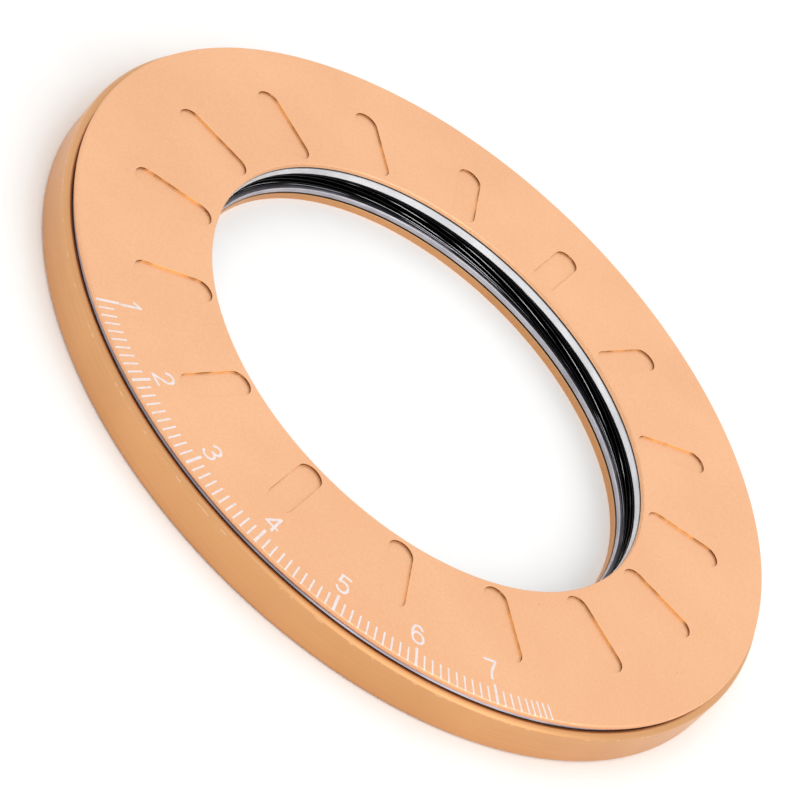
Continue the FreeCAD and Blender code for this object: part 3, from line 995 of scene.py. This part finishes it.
@dataclass
class PrintedScale:
    """White printed lines and numerals that give the circle's width in centimetres."""

    first_angle: float = math.radians(-126.69)
    step_angle: float = math.radians(1.2824)
    last_step_angle: float = math.radians(0.96)
    line_count: int = 69
    close_lines: int = 4
    ink: float = 0.012 * MM
    numeral_outer: float = 58.35 * MM
    numeral_height: float = 3.75 * MM
    pen: float = 0.42 * MM
    numeral_width: float = 0.6
    lip_steps: int = 4
    lip_turn: float = math.radians(60)

    def line_angle(self, number: float) -> float:
        """Azimuth of a line, counted in millimetres from the first."""
        return self.first_angle + self.step_angle * number

    def strip(self, plate: Extent, edge_round: float) -> bpy.types.Mesh:
        """One line's slab of ink, a millimetre wide, along +X and over the plate's edge.

        Args:
            plate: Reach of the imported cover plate.
            edge_round: Radius of the cover plate's upper edge.

        Returns:
            The mesh, with an attribute that marks its inner end.
        """
        centre = plate.outer - edge_round
        path = [(Tick.MILLIMETRE.value[0], plate.high, 0.0)]
        path += [(centre + edge_round * math.sin(turn),
                  plate.high - edge_round * (1 - math.cos(turn)), turn)
                 for turn in (self.lip_turn * step / self.lip_steps
                              for step in range(self.lip_steps + 1))]
        work = bmesh.new()
        stack = []
        for radius, height, turn in path:
            lift = (math.sin(turn) * self.ink, math.cos(turn) * self.ink)
            stack.append([(radius, -MM / 2, height), (radius, MM / 2, height),
                          (radius + lift[0], MM / 2, height + lift[1]),
                          (radius + lift[0], -MM / 2, height + lift[1])])
        loops = bridge(work, stack)
        work.faces.new(loops[0])
        work.faces.new(loops[-1])
        bmesh.ops.recalc_face_normals(work, faces=work.faces)
        mesh = bpy.data.meshes.new("scale_lines")
        work.to_mesh(mesh)
        work.free()
        ends = mesh.attributes.new("inner_end", "FLOAT", "POINT")
        for vertex in mesh.vertices:
            at_inner_end = abs(vertex.co.x - path[0][0]) < self.ink / 2
            ends.data[vertex.index].value = 1.0 if at_inner_end else 0.0
        return mesh

    def wire(self, tree: bpy.types.NodeTree,
             given: bpy.types.bpy_prop_collection) -> bpy.types.Node:
        """Add the nodes that repeat a line round the axis.

        Args:
            tree: Tree that the nodes go into.
            given: The tree's input sockets by name.

        Returns:
            The node that gives all the lines.
        """
        line = add_node(tree, "GeometryNodeMeshLine", {"Count": given["Count"], "Offset": (0, 0, 0)})
        index = add_node(tree, "GeometryNodeInputIndex")
        last = add_node(tree, MATH, (given["Count"], 1.0), operation="SUBTRACT")
        last_even = add_node(tree, MATH, (last, given["Close Lines"]), operation="SUBTRACT")
        even = add_node(tree, MATH, (index, last_even), operation="MINIMUM")
        past = add_node(tree, MATH, (index, last_even), operation="SUBTRACT")
        close = add_node(tree, MATH, (past, 0.0), operation="MAXIMUM")
        start = add_node(tree, MATH, (even, given["Step Angle"], given["First Angle"]),
                         operation="MULTIPLY_ADD")
        angle = add_node(tree, MATH, (close, given["Last Step Angle"], start),
                         operation="MULTIPLY_ADD")
        in_ten = add_node(tree, MATH, (index, 10.0), operation="MODULO")
        is_long = add_node(tree, MATH, (in_ten, 0.5), operation="LESS_THAN")
        is_first = add_node(tree, MATH, (index, 0.5), operation="LESS_THAN")
        extra = add_node(tree, MATH, (given["Long Width"], given["Short Width"]),
                         operation="SUBTRACT")
        width = add_node(tree, MATH, (is_long, extra, given["Short Width"]),
                         operation="MULTIPLY_ADD")
        longer = add_node(tree, MATH, (given["First Reach"], given["Long Reach"]),
                          operation="SUBTRACT")
        usual = add_node(tree, MATH, (is_long, given["Long Reach"]), operation="MULTIPLY")
        reach = add_node(tree, MATH, (is_first, longer, usual), operation="MULTIPLY_ADD")
        placed = add_node(tree, "GeometryNodeInstanceOnPoints", {
            "Points": line, "Instance": given["Geometry"],
            "Rotation": add_node(tree, "ShaderNodeCombineXYZ", {2: angle}),
            "Scale": add_node(tree, "ShaderNodeCombineXYZ", (1.0, width, 1.0))})
        marked = add_node(tree, "GeometryNodeStoreNamedAttribute",
                          {"Geometry": placed, "Name": "reach", "Value": reach},
                          data_type="FLOAT", domain="INSTANCE")
        real = add_node(tree, "GeometryNodeRealizeInstances", (marked,))
        ends, reaches = (add_node(tree, "GeometryNodeInputNamedAttribute", {"Name": name},
                                  data_type="FLOAT") for name in ("inner_end", "reach"))
        position = add_node(tree, "GeometryNodeInputPosition")
        flat = add_node(tree, "ShaderNodeVectorMath", (position, (1.0, 1.0, 0.0)),
                        operation="MULTIPLY")
        outward = add_node(tree, "ShaderNodeVectorMath", (flat,), operation="NORMALIZE")
        pull = add_node(tree, MATH, (reaches, -1.0), operation="MULTIPLY")
        inward = add_node(tree, MATH, (ends, pull), operation="MULTIPLY")
        shift = add_node(tree, "ShaderNodeVectorMath", {0: outward, "Scale": inward},
                         operation="SCALE")
        return add_node(tree, "GeometryNodeSetPosition", {"Geometry": real, "Offset": shift})

    def build_lines(self, plate: Extent, edge_round: float,
                    ink: bpy.types.Material) -> bpy.types.Object:
        """Print the lines.

        Args:
            plate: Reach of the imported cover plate.
            edge_round: Radius of the cover plate's upper edge.
            ink: Finish of the ink.

        Returns:
            The finished object.
        """
        piece = add_object("scale_lines", self.strip(plate, edge_round))
        short, long, first = (kind.value for kind in (Tick.MILLIMETRE, Tick.CENTIMETRE, Tick.FIRST))
        run_geometry_nodes(piece, "repeat_scale_lines", self.wire, {
            "Count": self.line_count, "Close Lines": self.close_lines,
            "First Angle": self.first_angle, "Step Angle": self.step_angle,
            "Last Step Angle": self.last_step_angle, "Short Width": short[1] / MM,
            "Long Width": long[1] / MM, "Long Reach": short[0] - long[0],
            "First Reach": short[0] - first[0], "Finish": ink})
        return piece

    def numeral_outline(self, path: list[tuple[float, float]]) -> tuple[list, list]:
        """Triangles of a numeral's stroke, drawn with a round pen.

        Args:
            path: The pen's path, in millimetres.

        Returns:
            Points in millimetres, and triples of point numbers.
        """
        half = self.pen / MM / 2
        points, faces = [], []

        def add_polygon(corners: list[tuple[float, float]]) -> None:
            """Add one convex polygon, counter-clockwise."""
            faces.append(list(range(len(points), len(points) + len(corners))))
            points.extend(Vector(corner) for corner in corners)

        for (x0, y0), (x1, y1) in zip(path, path[1:]):
            length = math.hypot(x1 - x0, y1 - y0)
            across = (-(y1 - y0) / length * half, (x1 - x0) / length * half)
            add_polygon([(x0 - across[0], y0 - across[1]), (x1 - across[0], y1 - across[1]),
                         (x1 + across[0], y1 + across[1]), (x0 + across[0], y0 + across[1])])
        for spot in path:
            add_polygon(arc(spot, (half, half), 0, 345, 15))
        made = delaunay_2d_cdt(points, [], faces, 1, 1e-5)
        kept = [face for face, source in zip(made[2], made[5]) if list(source)]
        return [(point.x, point.y) for point in made[0]], kept

    def build_numerals(self, plate: Extent, ink: bpy.types.Material) -> bpy.types.Object:
        """Print the numerals, tops towards the axis.

        Args:
            plate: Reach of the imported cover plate.
            ink: Finish of the ink.

        Returns:
            The finished object.
        """
        work = bmesh.new()
        scale = (self.numeral_height - self.pen) / MM
        for numeral, strokes in numeral_strokes().items():
            path = [((x - self.numeral_width / 2) * scale, y * scale) for x, y in strokes]
            points, triangles = self.numeral_outline(path)
            azimuth = self.line_angle(10 * (numeral - 1))
            outward = direction(azimuth, 0.0)
            along = direction(azimuth + math.pi / 2, 0.0)
            foot = outward * (self.numeral_outer - self.pen / 2) + Vector((0, 0, plate.high))
            spots = [work.verts.new(foot + along * x * MM - outward * y * MM) for x, y in points]
            faces = [work.faces.new([spots[i] for i in triangle]) for triangle in triangles]
            raised = bmesh.ops.extrude_face_region(work, geom=faces)
            lifted = [item for item in raised["geom"] if isinstance(item, bmesh.types.BMVert)]
            bmesh.ops.translate(work, verts=lifted, vec=(0, 0, self.ink))
        loose = [vertex for vertex in work.verts if not vertex.link_faces]
        bmesh.ops.delete(work, geom=loose, context="VERTS")
        bmesh.ops.recalc_face_normals(work, faces=work.faces)
        mesh = bpy.data.meshes.new("scale_numerals")
        work.to_mesh(mesh)
        work.free()
        mesh.materials.append(ink)
        return add_object("scale_numerals", mesh)

    def build(self, edge_round: float) -> list[bpy.types.Object]:
        """Print the whole scale on the cover plate.

        Args:
            edge_round: Radius of the cover plate's upper edge.

        Returns:
            The lines and the numerals.
        """
        plate = Extent.of("cover_plate")
        # Thin white ink, a little pinker where the metal shows through.
        ink = MatteCoat(name="screen_printed_white_ink", colour="#E4D9D8", thin_colour="#DDC6BB",
                        roughness=0.5, blotch=0.5 * MM, relief=0.002 * MM).material()
        pieces = [self.build_lines(plate, edge_round, ink), self.build_numerals(plate, ink)]
        for piece in pieces:
            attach(piece, "rotor")
        return pieces


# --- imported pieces


@dataclass
class InnerWorks:
    """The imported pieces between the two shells, each given its real finish."""

    def finishes(self) -> dict[str, bpy.types.Material]:
        """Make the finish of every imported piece, by the start of its name.

        Returns:
            Name starts against materials.
        """
        # A thin unbroken dark line at the cam ring's upper edge is painted shade of the gap under
        # the cover plate.
        # Lathe and rolling lines are drawn coarser than usual so that they show.
        painted_gap_shade = EdgeLine(height=Extent.of("cam_ring").high, width=0.2 * MM, dash=2 * MM,
                          share=-0.1, colour="#121011")
        cam = TurnedMetal(name="bare_aluminium_bright_turned", colour="#F1F1F4",
                          dull_colour="#C9CACF", roughness=0.22, line_spacing=0.09 * MM,
                          relief=0.003 * MM, wear_and_shade_line=painted_gap_shade)
        pivot = TurnedMetal(name="bare_aluminium_dull_turned", colour="#CFCDD4",
                            dull_colour="#9A99A1", roughness=0.34, line_spacing=0.08 * MM,
                            relief=0.003 * MM)
        stud = TurnedMetal(name="stainless_steel_turned", colour="#C4C5C9",
                           dull_colour="#94959A", roughness=0.28, line_spacing=0.06 * MM,
                           relief=0.002 * MM)
        # The blades' cut edges carry painted glints.
        blade = RolledSheetSteel(name="stainless_sheet_rolled", face_colour="#4A4A4D",
                                 streak_colour="#38383B", edge_glint_colour="#E4E5E9",
                                 edge_dark_colour="#2C2B2D", roughness=0.3, line_spacing=0.06 * MM)
        # The film is black all through and soaks up the light at its cut edge.
        film = MatteCoat(name="acrylic_adhesive_film", colour="#050404", thin_colour="#0B0908",
                         roughness=0.8, blotch=0.4 * MM, relief=0.004 * MM, sheen=0.05)
        return {"cam_ring": cam.material(), "pivot_ring": pivot.material(),
                "blade": blade.material(),
                "pivot_stud": stud.material(), "drive_stud": stud.material(),
                "base_film": film.material(), "cover_film": film.material()}

    def dress(self) -> int:
        """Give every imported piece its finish.

        Returns:
            How many pieces were dressed.
        """
        finishes = self.finishes()
        dressed = 0
        for name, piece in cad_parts.items():
            start = next((key for key in finishes if name.startswith(key)), None)
            if start:
                for material_slot in piece.material_slots:
                    material_slot.material = finishes[start]
                dressed += 1
        return dressed


# --- studio


@dataclass(frozen=True)
class Softbox:
    """A square white softbox that faces the ring: angles in degrees, metres and watts."""

    name: str
    azimuth: float
    elevation: float
    distance: float
    size: float
    power: float

    def hang(self) -> None:
        """Add the light to the scene."""
        data = bpy.data.lights.new(self.name, "AREA")
        data.shape = "SQUARE"
        data.size = self.size
        data.energy = self.power
        light = bpy.data.objects.new(self.name, data)
        bpy.context.scene.collection.objects.link(light)
        place = direction(math.radians(self.azimuth), math.radians(self.elevation))
        light.location = place * self.distance
        light.rotation_euler = place.to_track_quat("Z", "Y").to_euler()


@dataclass
class Studio:
    """Pale floor, soft light and the camera."""

    floor_size: float = 12.0
    azimuth: float = math.radians(-87.06)
    elevation: float = math.radians(32.3)
    roll: float = math.radians(-44.556)
    distance: float = 568.5 * MM
    lens: float = 172.83
    shift: tuple[float, float] = (-0.0040, 0.0041)
    room_power: float = 1.0
    wall_light: tuple[float, float] = (math.radians(-28), math.radians(10))
    wall_light_power: float = 0.55
    wall_light_focus: float = 5.0

    def add_floor(self) -> None:
        """Lay a plain pale sheet under the ring."""
        half = self.floor_size / 2
        mesh = bpy.data.meshes.new("floor")
        mesh.from_pydata([(-half, -half, 0), (half, -half, 0), (half, half, 0), (-half, half, 0)],
                         [], [(0, 1, 2, 3)])
        paper = MatteCoat(name="white_card", colour="#FBFBFA", thin_colour="#F6F6F5",
                          roughness=0.8, blotch=30 * MM, relief=0.01 * MM)
        mesh.materials.append(paper.material())
        add_object("floor", mesh)

    def add_world(self) -> None:
        """Fill the room with white light, brighter towards a wide lit wall."""
        world = bpy.data.worlds.new("white_room")
        world.use_nodes = True
        tree = world.node_tree
        tree.nodes.clear()
        ray = add_node(tree, "ShaderNodeTexCoord").outputs["Generated"]
        facing = add_node(tree, "ShaderNodeVectorMath", (ray, direction(*self.wall_light)),
                          operation="DOT_PRODUCT").outputs["Value"]
        lit = add_node(tree, RANGE, (facing, 0.0, 1.0, 0.0, 1.0))
        glow = add_node(tree, MATH, (lit, self.wall_light_focus), operation="POWER")
        strength = add_node(tree, MATH, (glow, self.wall_light_power, self.room_power),
                            operation="MULTIPLY_ADD")
        sky = add_node(tree, "ShaderNodeBackground",
                       {"Color": linear("#FFFFFF"), "Strength": strength})
        add_node(tree, "ShaderNodeOutputWorld", {"Surface": sky})
        bpy.context.scene.world = world

    def add_camera(self) -> None:
        """Stand the camera at the viewing angle, rolled about its own axis."""
        data = bpy.data.cameras.new("camera")
        data.lens = self.lens
        data.shift_x, data.shift_y = self.shift
        camera = bpy.data.objects.new("camera", data)
        bpy.context.scene.collection.objects.link(camera)
        back = direction(self.azimuth, self.elevation)
        right = direction(self.azimuth + math.pi / 2, 0.0)
        up = back.cross(right)
        across = right * math.cos(self.roll) - up * math.sin(self.roll)
        upward = right * math.sin(self.roll) + up * math.cos(self.roll)
        camera.location = back * self.distance
        turn = camera.matrix_world.to_3x3()
        turn.col[0], turn.col[1], turn.col[2] = across, upward, back
        camera.rotation_euler = turn.to_euler()
        bpy.context.scene.camera = camera

    def build(self) -> None:
        """Set up floor, lights, world and camera."""
        self.add_floor()
        self.add_world()
        Softbox("key_softbox", azimuth=-30, elevation=42, distance=0.6, size=0.8,
                power=1.1).hang()
        Softbox("back_softbox", azimuth=80, elevation=35, distance=1.0, size=1.0,
                power=0.4).hang()
        self.add_camera()
        bpy.context.scene.view_settings.view_transform = "Standard"


def main() -> None:
    """Build every piece in order."""
    logging.basicConfig(level=logging.INFO, format="%(name)s: %(message)s")
    Studio().build()
    cover = CoverPlate()
    pieces = [Housing().build(), RetainingRing().build(), cover.build()]
    pieces += PrintedScale().build(cover.edge_round)
    for piece in pieces:
        log.info("%s: %d faces", piece.name, len(piece.data.polygons))
    log.info("%d packed pieces dressed", InnerWorks().dress())


if __name__ == "__main__":
    main()
